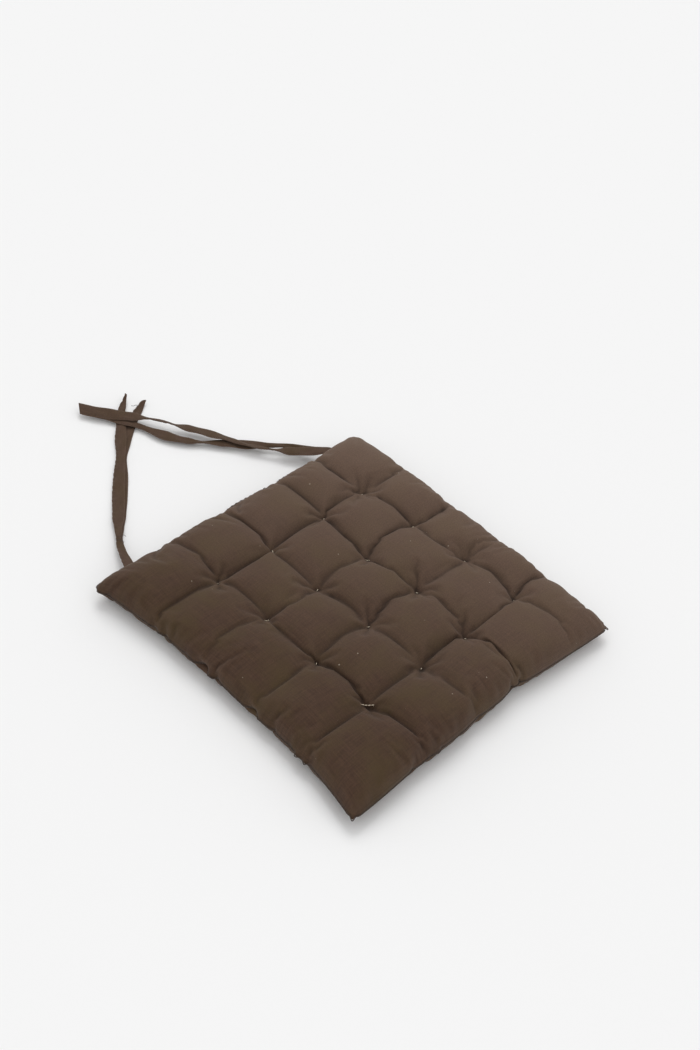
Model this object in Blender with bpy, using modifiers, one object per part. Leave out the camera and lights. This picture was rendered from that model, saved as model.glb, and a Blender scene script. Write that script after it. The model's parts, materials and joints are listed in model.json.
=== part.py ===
"""Square tufted chair seat pad with two pairs of fabric ties at its back edge.

Metres, +Z up. The pad lies on z = 0, centred on X and Y, with its tie edge at +Y.
"""

import math

import bmesh
import bpy
import numpy as np
from mathutils import Matrix, Vector

MM = 0.001

# Pad
PAD_WIDTH = 400 * MM
PAD_DEPTH = 400 * MM
SEAM_HEIGHT = 15.5 * MM
TOP_CROWN = 25 * MM
BOTTOM_CROWN = 22 * MM
LEFT_PULL = 12 * MM
RIGHT_PULL = 1 * MM
BACK_PULL = 2 * MM
FRONT_PULL = 2 * MM
CLOTH = 0.8 * MM
FILLING_GAP = 0.4 * MM
TOUCH_GAP = 0.3 * MM

# Tufts
TUFT_ROWS = 4
TUFT_PITCH = 77 * MM
TUFT_GRID_X = 21 * MM
TOP_TUFT_DEPTH = 0.8
BOTTOM_TUFT_DEPTH = 0.8
VALLEY_DEPTH = 0.5
THREAD_RADIUS = 0.9 * MM
KNOT_RADIUS = 2.0 * MM
KNOT_HEIGHT = 2.0 * MM
KNOT_STANDOFF = 1.2 * MM
HOLE_TURN = math.radians(10)  # keeps the eight-sided holes' corners off the panels' own edges

# Seams
SEAM_RADIUS = 0.8 * MM
SEAM_INSET = 1.0 * MM

# Ties
TIE_WIDTH = 16 * MM
TIE_THICKNESS = 1.4 * MM
TIE_ROOT_WIDTH = 6 * MM
TIE_TAPER = 45 * MM
TIE_STEP = 8 * MM
TIE_ROOT_OVERHANG = 1.5 * MM
TIE_ROOT_LENGTH = 4 * MM
TIE_ROOT_THICKNESS = 1.6 * MM
TIE_STACK_GAP = 1.0 * MM
TIE_LEFT_INSET = 52 * MM
TIE_RIGHT_INSET = 42 * MM

# Each tie's way over the floor, as steps in x and y from its root and the height of its middle, in mm.
LEFT_UPPER_ROUTE = [
    (17, 37, 9.2),
    (35, 62, 5.4),
    (56, 87, 3.4),
    (78, 114, 2.8),
    (101, 140, 2.8),
    (118, 159, 2.8),
    (135, 180, 2.8),
    (153, 201, 2.8),
    (168, 219, 2.8),
    (189, 236, 2.8),
]
LEFT_LOWER_ROUTE = [
    (17, 35, 6.2),
    (35, 60, 2.8),
    (56, 84, 1.2),
    (79, 110, 0.9),
    (101, 136, 0.9),
    (118, 156, 0.9),
    (138, 175, 0.9),
    (160, 193, 0.9),
    (181, 206, 0.9),
    (200, 216, 0.9),
]
RIGHT_UPPER_ROUTE = [
    (-21, 20, 12.6),
    (-36, 36, 11.0),
    (-49, 52, 10.0),
    (-62, 71, 9.4),
    (-75, 98, 9.0),
    (-90, 126, 9.0),
    (-105, 151, 9.0),
    (-114, 169, 8.6),
    (-125, 185, 8.2),
    (-141, 203, 8.0),
    (-156, 220, 8.0),
    (-168, 235, 8.0),
    (-177, 249, 8.0),
]
RIGHT_LOWER_ROUTE = [
    (-14, 27, 10.4),
    (-28, 45, 8.4),
    (-45, 61, 7.2),
    (-62, 77, 6.4),
    (-82, 97, 6.0),
    (-99, 113, 5.6),
    (-114, 130, 5.2),
    (-126, 151, 4.9),
    (-134, 171, 4.8),
    (-141, 187, 4.8),
    (-149, 202, 4.8),
    (-159, 220, 4.8),
    (-169, 237, 4.8),
]


def clear_scene():
    for thing in list(bpy.data.objects):
        bpy.data.objects.remove(thing)


def collection(name):
    made = bpy.data.collections.new(name)
    bpy.context.scene.collection.children.link(made)
    return made


def material(name, colour, roughness):
    made = bpy.data.materials.new(name)
    made.use_nodes = True
    shader = made.node_tree.nodes["Principled BSDF"]
    shader.inputs["Base Color"].default_value = (*colour, 1)
    shader.inputs["Roughness"].default_value = roughness
    shader.inputs["Metallic"].default_value = 0
    made.diffuse_color = (*colour, 1)
    return made


def add_object(name, mesh, finish, group):
    made = bpy.data.objects.new(name, mesh)
    group.objects.link(made)
    if finish is not None:
        mesh.materials.clear()
        mesh.materials.append(finish)
    return made


def tuft_lines(middle):
    """Places of the tuft rows along one side, about that middle."""
    return [middle + (i - (TUFT_ROWS - 1) / 2) * TUFT_PITCH for i in range(TUFT_ROWS)]


def tuft_places():
    """Row, column and plan place of each tuft; row 1 is next to the tie edge."""
    for row, y in enumerate(reversed(tuft_lines(0)), start=1):
        for column, x in enumerate(tuft_lines(TUFT_GRID_X), start=1):
            yield row, column, x, y


def edge_fade(share):
    """1 over the middle of the pad, falling steeply to 0 at its side."""
    return math.sqrt(max(0.0, 1 - min(1.0, abs(share)) ** 6))


def puff_wave(place, lines):
    """0 on a tuft line, rising to 1 half a pitch away from it, and 1 beyond the last line's puff."""
    away = min(abs(place - line) for line in lines)
    return math.sin(math.pi / 2 * min(1.0, away / (TUFT_PITCH / 2)))


def puff_share(x, y, tuft_depth):
    """How full the pad is at a place: 1 on a puff, less in a valley, least at a tuft."""
    across = 1 - VALLEY_DEPTH * puff_wave(x, tuft_lines(TUFT_GRID_X))
    along = 1 - VALLEY_DEPTH * puff_wave(y, tuft_lines(0))
    height = (1 - across * along) / (1 - (1 - VALLEY_DEPTH) ** 2)
    return 1 - tuft_depth * (1 - height)


def rim_offset():
    """Height of a cover's rim over the seam's middle."""
    return SEAM_RADIUS + TOUCH_GAP + CLOTH


def top_height(x, y):
    fade = edge_fade(2 * x / PAD_WIDTH) * edge_fade(2 * y / PAD_DEPTH)
    rise = (TOP_CROWN - rim_offset()) * fade * puff_share(x, y, TOP_TUFT_DEPTH)
    return SEAM_HEIGHT + rim_offset() + rise


def bottom_height(x, y):
    """The underside's puffs are pressed flat where they meet the floor."""
    fade = edge_fade(2 * x / PAD_WIDTH) * edge_fade(2 * y / PAD_DEPTH)
    drop = BOTTOM_CROWN * fade * puff_share(x, y, BOTTOM_TUFT_DEPTH)
    return max(0.0, SEAM_HEIGHT - rim_offset() - drop)


def pulled_in(x, y):
    """The place after the tufting has drawn the sides in between the corners."""
    across, along = 2 * x / PAD_WIDTH, 2 * y / PAD_DEPTH
    side_pull = LEFT_PULL if across < 0 else RIGHT_PULL
    end_pull = FRONT_PULL if along < 0 else BACK_PULL
    pull_x = side_pull * across * abs(across) ** 3 * (1 - along**4)
    pull_y = end_pull * along * abs(along) ** 3 * (1 - across**4)
    return x - pull_x, y - pull_y


def grid_lines(size, lines):
    """Grid line places over one side: narrow cells at the rims, and a line through each tuft."""
    half = size / 2
    first = half + lines[0]
    last = half - lines[-1]
    places = [-half, -half + first * 0.06, -half + first * 0.22, -half + first * 0.5]
    places += [-half + first * 0.76]
    for start, end in zip(lines, lines[1:]):
        places += [start + (end - start) * i / 4 for i in range(4)]
    places += [lines[-1], half - last * 0.76, half - last * 0.5, half - last * 0.22]
    places += [half - last * 0.06, half]
    return places


def panel_mesh(name, height):
    """One cover panel's outer face as a grid that follows the pad's form."""
    columns = grid_lines(PAD_WIDTH, tuft_lines(TUFT_GRID_X))
    rows = grid_lines(PAD_DEPTH, tuft_lines(0))
    shape = bmesh.new()
    bmesh.ops.create_grid(
        shape, x_segments=len(columns) - 1, y_segments=len(rows) - 1, size=1
    )
    for vertex in shape.verts:
        x = columns[round((vertex.co.x + 1) / 2 * (len(columns) - 1))]
        y = rows[round((vertex.co.y + 1) / 2 * (len(rows) - 1))]
        vertex.co = (*pulled_in(x, y), height(x, y))
    bmesh.ops.triangulate(shape, faces=shape.faces, quad_method="SHORT_EDGE")
    mesh = bpy.data.meshes.new(name)
    shape.to_mesh(mesh)
    shape.free()
    return mesh


def flip(mesh):
    shape = bmesh.new()
    shape.from_mesh(mesh)
    bmesh.ops.reverse_faces(shape, faces=shape.faces)
    shape.to_mesh(mesh)
    shape.free()


def tuft_cutter(group):
    """Upright pins, one through each tuft, that cut the thread's way through cloth and filling."""
    shape = bmesh.new()
    for _, _, x, y in tuft_places():
        made = bmesh.ops.create_cone(
            shape,
            cap_ends=True,
            segments=8,
            radius1=THREAD_RADIUS + TOUCH_GAP,
            radius2=THREAD_RADIUS + TOUCH_GAP,
            depth=4 * (SEAM_HEIGHT + TOP_CROWN),
            matrix=Matrix.Rotation(HOLE_TURN, 4, "Z"),
        )
        bmesh.ops.translate(shape, verts=made["verts"], vec=(*pulled_in(x, y), SEAM_HEIGHT))
    mesh = bpy.data.meshes.new("tuft_holes")
    shape.to_mesh(mesh)
    shape.free()
    cutter = add_object("tuft_holes", mesh, None, group)
    cutter.hide_render = True
    cutter.display_type = "WIRE"
    return cutter


def cut(thing, cutter):
    hole = thing.modifiers.new("tuft holes", "BOOLEAN")
    hole.operation = "DIFFERENCE"
    hole.solver = "EXACT"
    hole.object = cutter


def cover(name, height, faces_down, finish, group, cutter):
    """A cover panel: one layer of cloth, thickened inwards from its outer face."""
    mesh = panel_mesh(name, height)
    if faces_down:
        flip(mesh)
    panel = add_object(name, mesh, finish, group)
    thick = panel.modifiers.new("cloth", "SOLIDIFY")
    thick.thickness = CLOTH
    thick.offset = -1
    cut(panel, cutter)
    mesh.shade_smooth()
    return panel


def inner_layer(mesh, depth):
    """Moves a panel inwards along its normals and drops its rim, where the filling doesn't reach."""
    shape = bmesh.new()
    shape.from_mesh(mesh)
    shape.normal_update()
    moves = {v: v.normal * depth for v in shape.verts}
    for vertex, move in moves.items():
        vertex.co -= move
    rim = [v for v in shape.verts if v.is_boundary]
    bmesh.ops.delete(shape, geom=rim, context="VERTS")
    return shape


def filling(finish, group, cutter):
    """The loose wadding, a bag-shaped body that stops just short of the cloth."""
    depth = CLOTH + FILLING_GAP
    top = panel_mesh("filling_top", top_height)
    bottom = panel_mesh("filling_bottom", bottom_height)
    flip(bottom)
    shape = inner_layer(top, depth)
    lower = inner_layer(bottom, depth)
    lower.to_mesh(bottom)
    lower.free()
    shape.from_mesh(bottom)
    rims = [e for e in shape.edges if e.is_boundary]
    bmesh.ops.bridge_loops(shape, edges=rims)
    bmesh.ops.recalc_face_normals(shape, faces=shape.faces)
    mesh = bpy.data.meshes.new("filling")
    shape.to_mesh(mesh)
    shape.free()
    bpy.data.meshes.remove(top)
    bpy.data.meshes.remove(bottom)
    body = add_object("filling", mesh, finish, group)
    cut(body, cutter)
    return body


def tuft_stitch(name, x, y, finish, group):
    """A stitch through the pad, turned about its thread: a knot over the top, one under the bottom."""
    px, py = pulled_in(x, y)
    top = top_height(x, y) + KNOT_STANDOFF
    low = bottom_height(x, y) - KNOT_STANDOFF
    profile = [(0, top + KNOT_HEIGHT)]
    profile += [(KNOT_RADIUS * 0.75, top + KNOT_HEIGHT * 0.8)]
    profile += [(KNOT_RADIUS, top + KNOT_HEIGHT * 0.45), (THREAD_RADIUS, top)]
    profile += [(THREAD_RADIUS, low), (KNOT_RADIUS, low - KNOT_HEIGHT * 0.45)]
    profile += [(KNOT_RADIUS * 0.75, low - KNOT_HEIGHT * 0.8), (0, low - KNOT_HEIGHT)]
    mesh = bpy.data.meshes.new(name)
    shape = bmesh.new()
    ring = [shape.verts.new((r, 0, z)) for r, z in profile]
    for a, b in zip(ring, ring[1:]):
        shape.edges.new((a, b))
    shape.to_mesh(mesh)
    shape.free()
    stitch = add_object(name, mesh, finish, group)
    stitch.location = (px, py, 0)
    turn = stitch.modifiers.new("turn", "SCREW")
    turn.steps = 8
    turn.render_steps = 8
    turn.use_merge_vertices = True
    turn.merge_threshold = 0.00001
    turn.use_smooth_shade = True
    return stitch


def rim_point(x, y):
    """A place on the seam line, which runs just inside the panels' rims."""
    px, py = pulled_in(x, y)
    shrink_x = 1 - 2 * SEAM_INSET / PAD_WIDTH
    shrink_y = 1 - 2 * SEAM_INSET / PAD_DEPTH
    return Vector((px * shrink_x, py * shrink_y, SEAM_HEIGHT))


def bead(name, points, finish, group):
    """A round line of stitching along points."""
    line = bpy.data.curves.new(name, "CURVE")
    line.dimensions = "3D"
    line.bevel_depth = SEAM_RADIUS
    line.bevel_resolution = 1
    line.use_fill_caps = True
    spline = line.splines.new("POLY")
    spline.points.add(len(points) - 1)
    for spot, point in zip(spline.points, points):
        spot.co = (*point, 1)
    line.materials.append(finish)
    made = bpy.data.objects.new(name, line)
    group.objects.link(made)
    return made


def tie_root_x(side):
    """Place of a tie pair along the back edge; side is -1 at the left and 1 at the right."""
    inset = TIE_LEFT_INSET if side < 0 else TIE_RIGHT_INSET
    return side * (PAD_WIDTH / 2 - inset)


def edge_seam(finish, group):
    """The machine seam from one tie pair, round the corners and the front, to the other."""
    half_x, half_y = PAD_WIDTH / 2, PAD_DEPTH / 2
    gap = TIE_ROOT_WIDTH / 2 + SEAM_RADIUS + TOUCH_GAP
    start, end = tie_root_x(1) + gap, tie_root_x(-1) - gap
    steps = 20
    run = [rim_point(x, half_y) for x in np.linspace(start, half_x, 4)[:-1]]
    run += [rim_point(half_x, y) for y in np.linspace(half_y, -half_y, steps)[:-1]]
    run += [rim_point(x, -half_y) for x in np.linspace(half_x, -half_x, steps)[:-1]]
    run += [rim_point(-half_x, y) for y in np.linspace(-half_y, half_y, steps)[:-1]]
    run += [rim_point(x, half_y) for x in np.linspace(-half_x, end, 4)]
    return bead("edge_seam", run, finish, group)


def closing_seam(finish, group):
    """The hand-sewn stretch between the tie pairs, closed after filling."""
    gap = TIE_ROOT_WIDTH / 2 + SEAM_RADIUS + TOUCH_GAP
    places = np.linspace(tie_root_x(-1) + gap, tie_root_x(1) - gap, 16)
    run = [rim_point(x, PAD_DEPTH / 2) for x in places]
    return bead("closing_seam", run, finish, group)


def tie_root_end(side):
    """Where the sewn-in middle of a tie stops, just outside the seam."""
    edge = rim_point(tie_root_x(side), PAD_DEPTH / 2)
    return edge + Vector((0, TIE_ROOT_OVERHANG, 0))


def tie_pivot(side):
    """The axis that a pair of ties swings about, a root radius clear of its sewn-in middle."""
    return tie_root_end(side) + Vector((0, TOUCH_GAP + TIE_ROOT_WIDTH / 2, 0))


def tie_root(name, side, finish, group):
    """The middle of the tie strip, caught in the seam between the panels."""
    end = tie_root_end(side)
    shape = bmesh.new()
    bmesh.ops.create_cube(shape, size=1)
    size = Vector((TIE_ROOT_WIDTH, TIE_ROOT_LENGTH, TIE_ROOT_THICKNESS))
    bmesh.ops.scale(shape, verts=shape.verts, vec=size)
    mesh = bpy.data.meshes.new(name)
    shape.to_mesh(mesh)
    shape.free()
    root = add_object(name, mesh, finish, group)
    root.location = end - Vector((0, TIE_ROOT_LENGTH / 2, 0))
    soft = root.modifiers.new("soft edges", "BEVEL")
    soft.width = 0.3 * MM
    soft.segments = 1
    return root


def smooth_route(points, step):
    """Points a step apart on a Catmull-Rom curve through the route's own points."""
    ends = [2 * points[0] - points[1], *points, 2 * points[-1] - points[-2]]
    fine = []
    for a, b, c, d in zip(ends, ends[1:], ends[2:], ends[3:]):
        for i in range(12):
            t = i / 12
            bend = 2 * a - 5 * b + 4 * c - d
            twist = 3 * b - a - 3 * c + d
            fine.append((2 * b + (c - a) * t + bend * t**2 + twist * t**3) / 2)
    fine.append(points[-1])
    lengths = [0.0]
    for a, b in zip(fine, fine[1:]):
        lengths.append(lengths[-1] + (b - a).length)
    count = max(2, round(lengths[-1] / step))
    at = np.linspace(0, lengths[-1], count + 1)
    axes = [np.interp(at, lengths, [p[k] for p in fine]) for k in range(3)]
    return [Vector(p) for p in zip(*axes)], at


def tie_half_width(along):
    """A round end about the pivot, then a taper from the gathered root to the full width."""
    root, full = TIE_ROOT_WIDTH / 2, TIE_WIDTH / 2
    if along < 0:
        return math.sqrt(max(0.0, root**2 - along**2))
    grown = min(1.0, along / TIE_TAPER)
    return root + (full - root) * grown * grown * (3 - 2 * grown)


def tie(name, side, route, root_lift, finish, group):
    """One tail of a tie, a flat strip laid along its route, with its origin on the swing axis."""
    pivot = tie_pivot(side)
    floor_pivot = Vector((pivot.x, pivot.y, 0))
    points = [Vector((0, 0, pivot.z + root_lift))]
    points += [Vector(spot) * MM for spot in route]
    line, places = smooth_route(points, TIE_STEP)
    heading = Vector((line[1].x, line[1].y, 0)).normalized()
    radius = TIE_ROOT_WIDTH / 2
    backs = [-radius * share for share in (0.97, 0.8, 0.45)]
    rows = [(line[0] + heading * back, back) for back in backs]
    rows += list(zip(line, places))
    shape = bmesh.new()
    bmesh.ops.create_grid(shape, x_segments=len(rows) - 1, y_segments=2, size=1)
    for vertex in shape.verts:
        i = round((vertex.co.x + 1) / 2 * (len(rows) - 1))
        before, after = rows[max(i - 1, 0)][0], rows[min(i + 1, len(rows) - 1)][0]
        ahead = Vector((after.x - before.x, after.y - before.y, 0)).normalized()
        across = Vector((-ahead.y, ahead.x, 0))
        centre, place = rows[i]
        vertex.co = centre + across * vertex.co.y * tie_half_width(place)
    mesh = bpy.data.meshes.new(name)
    shape.to_mesh(mesh)
    shape.free()
    strip = add_object(name, mesh, finish, group)
    strip.location = floor_pivot
    thick = strip.modifiers.new("folded cloth", "SOLIDIFY")
    thick.thickness = TIE_THICKNESS
    thick.offset = 0
    return strip


def build():
    clear_scene()
    pad = collection("chair_seat_pad")
    cutters = collection("cutters")
    brown_cotton = material("brown_cotton", (0.075, 0.052, 0.038), 0.9)
    tie_cotton = material("tie_cotton", (0.08, 0.056, 0.042), 0.9)
    brown_thread = material("brown_thread", (0.06, 0.042, 0.032), 0.85)
    tuft_thread = material("tuft_thread", (0.35, 0.3, 0.25), 0.8)
    wadding = material("wadding", (0.8, 0.79, 0.76), 1.0)

    holes = tuft_cutter(cutters)
    cover("cover_top", top_height, False, brown_cotton, pad, holes)
    cover("cover_bottom", bottom_height, True, brown_cotton, pad, holes)
    filling(wadding, pad, holes)
    for row, column, x, y in tuft_places():
        tuft_stitch(f"tuft_stitch_{row}_{column}", x, y, tuft_thread, pad)
    edge_seam(brown_thread, pad)
    closing_seam(brown_thread, pad)

    stack = (TIE_THICKNESS + TIE_STACK_GAP) / 2
    for name, side in (("left", -1), ("right", 1)):
        tie_root(f"tie_root_{name}", side, tie_cotton, pad)
    tie("tie_left_upper", -1, LEFT_UPPER_ROUTE, stack, tie_cotton, pad)
    tie("tie_left_lower", -1, LEFT_LOWER_ROUTE, -stack, tie_cotton, pad)
    tie("tie_right_upper", 1, RIGHT_UPPER_ROUTE, stack, tie_cotton, pad)
    tie("tie_right_lower", 1, RIGHT_LOWER_ROUTE, -stack, tie_cotton, pad)


build()
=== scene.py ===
import json
import math

import bpy
import numpy as np
from mathutils import Matrix, Vector
from mathutils.bvhtree import BVHTree


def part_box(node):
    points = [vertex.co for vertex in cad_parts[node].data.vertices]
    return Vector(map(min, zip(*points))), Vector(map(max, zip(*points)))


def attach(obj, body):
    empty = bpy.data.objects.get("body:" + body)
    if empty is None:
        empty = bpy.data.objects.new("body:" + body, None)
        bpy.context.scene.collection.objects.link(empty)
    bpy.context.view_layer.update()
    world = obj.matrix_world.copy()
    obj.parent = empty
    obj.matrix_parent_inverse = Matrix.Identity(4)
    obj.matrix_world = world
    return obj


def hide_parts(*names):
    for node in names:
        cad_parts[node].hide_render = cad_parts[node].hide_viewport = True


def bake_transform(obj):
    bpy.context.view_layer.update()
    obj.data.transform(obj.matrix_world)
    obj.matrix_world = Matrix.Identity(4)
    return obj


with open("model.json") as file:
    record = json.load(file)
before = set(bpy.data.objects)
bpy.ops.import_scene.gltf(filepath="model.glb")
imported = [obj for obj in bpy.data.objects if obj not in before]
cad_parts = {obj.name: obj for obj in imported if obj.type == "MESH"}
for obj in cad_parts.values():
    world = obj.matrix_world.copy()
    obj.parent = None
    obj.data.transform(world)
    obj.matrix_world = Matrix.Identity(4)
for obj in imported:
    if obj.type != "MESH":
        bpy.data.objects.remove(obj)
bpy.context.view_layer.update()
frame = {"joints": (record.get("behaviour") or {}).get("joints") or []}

mm = 0.001
scene = bpy.context.scene
random = np.random.default_rng(41)
joints = {joint["name"]: joint for joint in frame["joints"]}

print("stage 1: camera")

cameraLook = {
    "target": (0.101, 0.106, 0.0),  # metres, the floor under the middle of the picture
    "distance": 2.004,
    "elevation": 43.53,
    "azimuth": -140.09,
    "roll": 7.84,
    "lens": 59.5,
    "sensor": 36.0,
}


def direction(azimuth, elevation):  # degrees from +X towards +Y, and degrees up
    turn, rise = math.radians(azimuth), math.radians(elevation)
    return Vector((math.cos(turn) * math.cos(rise), math.sin(turn) * math.cos(rise), math.sin(rise)))


def addObject(name, data):
    made = bpy.data.objects.new(name, data)
    scene.collection.objects.link(made)
    return made


def makeCamera():
    roll = math.radians(cameraLook["roll"])
    back = direction(cameraLook["azimuth"], cameraLook["elevation"])
    level = Vector((0, 0, 1)).cross(back).normalized()
    up = back.cross(level)
    right = level * math.cos(roll) + up * math.sin(roll)
    top = up * math.cos(roll) - level * math.sin(roll)
    data = bpy.data.cameras.new("camera")
    data.lens = cameraLook["lens"]
    data.sensor_width = cameraLook["sensor"]
    data.sensor_fit = "AUTO"
    camera = addObject("camera", data)
    place = Matrix((right, top, back)).transposed().to_4x4()
    place.translation = Vector(cameraLook["target"]) + back * cameraLook["distance"]
    camera.matrix_world = place
    scene.camera = camera


makeCamera()


def toLinear(colour):  # sRGB hex to the linear values that shaders take
    parts = [int(colour[i:i + 2], 16) / 255 for i in (1, 3, 5)]
    return tuple(c / 12.92 if c <= 0.04045 else ((c + 0.055) / 1.055) ** 2.4 for c in parts) + (1.0,)


def addNode(tree, kind, inputs=None, **settings):  # one node with its settings and links
    node = tree.nodes.new("ShaderNode" + kind)
    for name, value in settings.items():
        setattr(node, name, value)
    for name, value in (inputs or {}).items():
        source = value.outputs[0] if isinstance(value, bpy.types.Node) else value
        if isinstance(source, bpy.types.NodeSocket):
            tree.links.new(source, node.inputs[name])
        else:
            node.inputs[name].default_value = value
    return node


def newMaterial(name):
    made = bpy.data.materials.new(name)
    made.use_nodes = True
    made.node_tree.nodes.clear()
    return made, made.node_tree


def finishMaterial(tree, inputs, height, bumpStrength, bumpDistance):
    bump = addNode(tree, "Bump", {"Strength": bumpStrength, "Distance": bumpDistance, "Height": height})
    shader = addNode(tree, "BsdfPrincipled", {**inputs, "Normal": bump})
    addNode(tree, "OutputMaterial", {"Surface": shader})


# Cotton yarn woven one over one under, then piece-dyed brown. The dye takes unevenly on slubby
# yarn, so the eye gets a soft matt cloth with faint streaks along both threads, a pale lift on the
# puffs' crests that is partly rub wear and partly painted highlight, and pale lint caught in the nap.
# Painted shade darkens the creases and the dips between the yarns; painted light brightens it towards +X.
coverCotton = {
    "ground": "#4b3628",
    "deep": "#3b291e",
    "olive": "#473722",
    "wornAndHighlight": "#5f4b3d",
    "paintedLightTone": "#6c584b",  # painted light: the cloth drawn lighter and greyer towards the +X side, as if more light falls there
    "lint": "#a89c8c",
    "crease": "#2a1e16",  # painted shade: darker colour laid where the cloth is folded in
    "foldShade": 0.95,
    "paintedLightFrom": 0.54,  # place across the cloth, in metres of its flat pattern, where the painted light begins
    "paintedLightTo": 1.0,
    "driftMm": 0.9,  # how far the threads stray from straight
    "threadMm": 1.15,  # real yarns lie about 0.45 mm apart; drawn coarser so that the weave shows
    "slubMm": 26.0,
    "blotchMm": 48.0,
    "heatherMm": 1.54,
    "lintMm": 11.0,
    "roughness": 0.88,
    "sheen": 0.13,
    "sheenRoughness": 0.45,
    "nap": "#d9cdc2",
    "weaveBump": 0.32,
}
tieCotton = {
    **coverCotton,
    "ground": "#564235",
    "deep": "#47352a",
    "wornAndHighlight": "#6b574a",
    "paintedLightFrom": 8.0,  # no painted light gradient along the ties
    "paintedLightTo": 9.0,
    "lint": "#9a8d7f",
    "threadMm": 0.95,
    "slubMm": 18.0,
}


def weaveHeight(tree, cloth, threadMm):  # plain weave: round threads, over and under in turn
    turns = math.pi / (threadMm * mm)
    phase = addNode(tree, "VectorMath", {0: cloth, 1: (turns, turns, turns)}, operation="MULTIPLY")
    parts = addNode(tree, "SeparateXYZ", {"Vector": phase})
    warp = addNode(tree, "Math", {0: parts.outputs["X"]}, operation="SINE")
    weft = addNode(tree, "Math", {0: parts.outputs["Y"]}, operation="SINE")
    crossing = addNode(tree, "Math", {0: warp, 1: weft}, operation="MULTIPLY")
    height = 0.0
    for thread, lift in ((warp, 0.5), (weft, -0.5)):  # the weft is under where the warp is over
        rounded = addNode(tree, "Math", {0: thread}, operation="ABSOLUTE")
        over = addNode(tree, "Math", {0: crossing, 1: lift, 2: 0.5}, operation="MULTIPLY_ADD")
        height = addNode(tree, "Math", {0: rounded, 1: over, 2: height}, operation="MULTIPLY_ADD")
    return height


def wovenCotton(name, look):
    made, tree = newMaterial(name)
    cloth = addNode(tree, "UVMap", uv_map="cloth")
    warped = addNode(tree, "TexNoise", {"Vector": cloth, "Scale": 90.0, "Detail": 2.0}).outputs["Color"]
    drift = addNode(tree, "VectorMath", {0: warped, 1: (look["driftMm"] * mm,) * 3, 2: cloth},
                    operation="MULTIPLY_ADD")
    weave = weaveHeight(tree, drift, look["threadMm"])
    slub = 1 / (look["slubMm"] * mm)
    streaks = []
    for factors in ((slub * 16, slub, slub), (slub, slub * 16, slub)):  # along each thread
        stretched = addNode(tree, "VectorMath", {0: cloth, 1: factors}, operation="MULTIPLY")
        streaks.append(addNode(tree, "TexNoise", {"Vector": stretched, "Scale": 1.0, "Detail": 3.0}))
    streak = addNode(tree, "Math", dict(enumerate(streaks)), operation="ADD")
    blotch = addNode(tree, "TexNoise", {"Vector": cloth, "Scale": 1 / (look["blotchMm"] * mm),
                                        "Detail": 4.0, "Roughness": 0.6})
    heather = addNode(tree, "TexNoise", {"Vector": cloth, "Scale": 1 / (look["heatherMm"] * mm),
                                         "Detail": 5.0})
    lintCells = addNode(tree, "TexVoronoi", {"Vector": drift, "Scale": 1 / (look["lintMm"] * mm)})
    lintSize = addNode(tree, "SeparateXYZ", {"Vector": lintCells.outputs["Color"]})
    lintRare = addNode(tree, "Math", {0: lintSize, 1: 3.0}, operation="POWER")
    lintEdge = addNode(tree, "Math", {0: lintRare, 1: 0.075}, operation="MULTIPLY")
    lintInside = addNode(tree, "Math", {0: lintEdge, 1: lintCells.outputs["Distance"]}, operation="SUBTRACT")
    across = addNode(tree, "VectorMath", {0: cloth, 1: (1.0, 0.35, 0.0)}, operation="DOT_PRODUCT")
    # the fold mask is painted shade; the crest mask is partly wear and partly painted highlight
    fold, rubAndHighlight = [addNode(tree, "Attribute", attribute_name=key) for key in ("fold", "rubAndHighlight")]
    ranges = {  # each pattern's value, where it begins and is full, and what it then runs between
        "streak": (streak, 0.7, 1.25, 0.0, 1.0),
        "blotch": (blotch, 0.42, 0.68, 0.0, 0.9),
        # painted light: lighter and greyer towards +X across the cloth
        "falloff": (across.outputs["Value"], look["paintedLightFrom"], look["paintedLightTo"], 0.0, 0.8),
        # weave: painted shade in the dips between the yarns, the same pattern as the bump
        "weave": (weave, 0.0, 0.75, 0.74, 1.08),
        "heather": (heather, 0.3, 0.7, 0.86, 1.14),
        "lint": (lintInside, 0.0, 0.012, 0.0, 0.75),
        # fold: painted shade in the creases
        "fold": (fold.outputs["Fac"], 0.0, 1.0, 0.0, look["foldShade"]),
        # crests: partly pale wear, partly painted highlight
        "rubAndHighlight": (rubAndHighlight.outputs["Fac"], 0.0, 1.0, 0.0, 0.45),
    }
    share = {}
    for key, (value, low, high, least, most) in ranges.items():
        share[key] = addNode(tree, "MapRange", {"Value": value, "From Min": low, "From Max": high,
                                                "To Min": least, "To Max": most})
    tones = {"streak": "ground", "blotch": "olive", "falloff": "paintedLightTone", "fold": "crease", "rubAndHighlight": "wornAndHighlight",
             "weave": "", "heather": "", "lint": "lint"}  # one with no colour scales what is there; the weave's share is painted shade
    colour = toLinear(look["deep"])
    for key, tone in tones.items():
        amount, layer = (share[key], toLinear(look[tone])) if tone else (1.0, share[key])
        colour = addNode(tree, "Mix", {0: amount, 6: colour, 7: layer}, data_type="RGBA",
                         blend_type="MIX" if tone else "MULTIPLY").outputs[2]
    height = 0.0
    for part, rise in ((weave, 0.6), (streak, 0.5), (share["lint"], 1.07)):
        height = addNode(tree, "Math", {0: part, 1: rise, 2: height}, operation="MULTIPLY_ADD")
    rough = addNode(tree, "Math", {0: heather, 1: 0.1, 2: look["roughness"] - 0.05},
                    operation="MULTIPLY_ADD")
    inputs = {
        "Base Color": colour,
        "Roughness": rough,
        "Specular IOR Level": 0.25,
        "IOR": 1.53,
        "Sheen Weight": look["sheen"],
        "Sheen Roughness": look["sheenRoughness"],
        "Sheen Tint": toLinear(look["nap"]),
    }
    finishMaterial(tree, inputs, height, look["weaveBump"], 0.5 * mm)
    return made


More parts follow.
